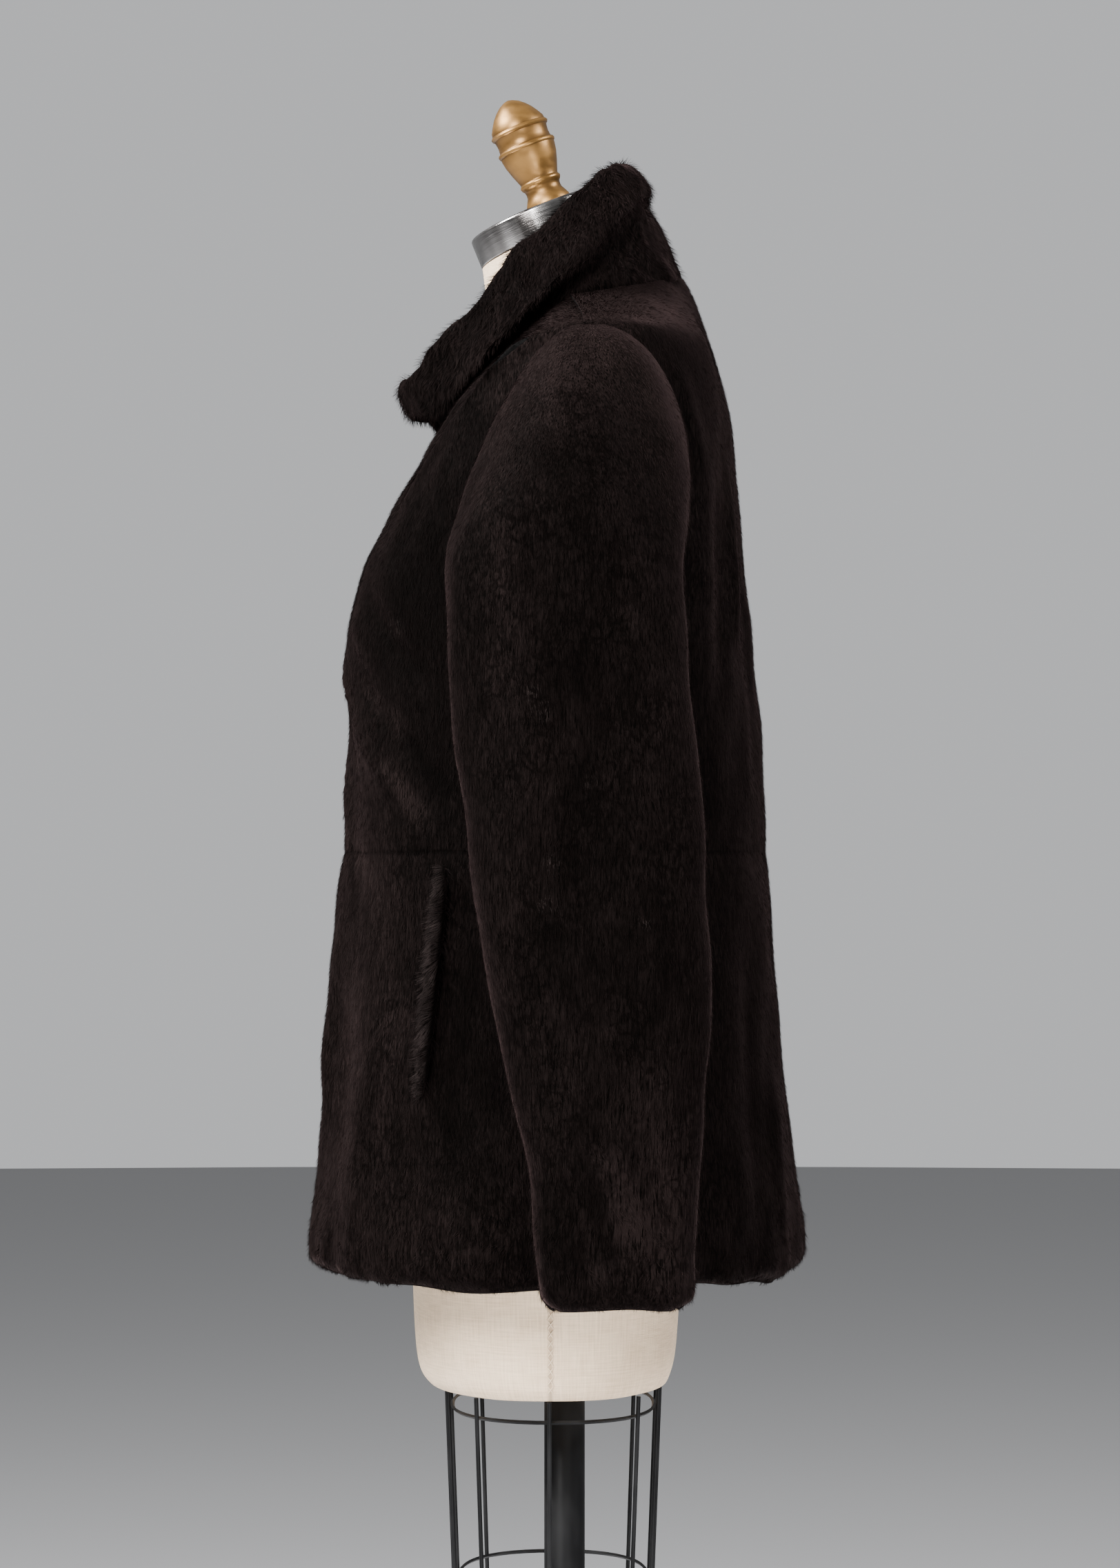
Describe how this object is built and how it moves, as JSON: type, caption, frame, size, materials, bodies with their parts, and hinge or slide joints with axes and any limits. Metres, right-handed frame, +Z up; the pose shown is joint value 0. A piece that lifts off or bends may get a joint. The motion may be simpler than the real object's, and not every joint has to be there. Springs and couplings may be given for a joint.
{
  "type": "fur jacket on dress form",
  "caption": "Hip-length sheared-fur jacket with a turned-over collar and slit pockets, worn by a linen dress form on a round-footed wire-cage stand.",
  "frame": {"origin": "middle of the base plate's underside", "axes": "+Z up the pole, -Y the way the jacket faces, +X the wearer's left"},
  "size_m": [0.6344, 0.43, 1.5277],
  "materials": {
    "sheared_fur": "dark brown-black sheared fur with a soft sheen",
    "form_linen": "matte cream linen",
    "cap_steel": "brushed",
    "finial_gilt": "satin gilt",
    "stand_black": "satin black enamel"
  },
  "bodies": {
    "root": {"left_front_upper": "sheared_fur", "left_front_lower": "sheared_fur", "right_front_upper": "sheared_fur", "right_front_lower": "sheared_fur", "back_upper": "sheared_fur", "back_lower": "sheared_fur", "left_sleeve_top": "sheared_fur", "left_sleeve_under": "sheared_fur", "right_sleeve_top": "sheared_fur", "right_sleeve_under": "sheared_fur", "collar": "sheared_fur", "left_pocket_edge": "sheared_fur", "right_pocket_edge": "sheared_fur", "form_torso": "form_linen", "neck_cap": "cap_steel", "finial": "finial_gilt", "base_plate": "stand_black", "base_hub": "stand_black", "pole": "stand_black", "cage_wire_01": "stand_black", "cage_wire_02": "stand_black", "cage_wire_03": "stand_black", "cage_wire_04": "stand_black", "cage_wire_05": "stand_black", "cage_wire_06": "stand_black", "cage_wire_07": "stand_black", "cage_wire_08": "stand_black", "cage_wire_09": "stand_black", "cage_wire_10": "stand_black", "cage_wire_11": "stand_black", "cage_wire_12": "stand_black", "cage_ring_1": "stand_black", "cage_ring_2": "stand_black", "cage_ring_3": "stand_black"}
  },
  "joints": []
}
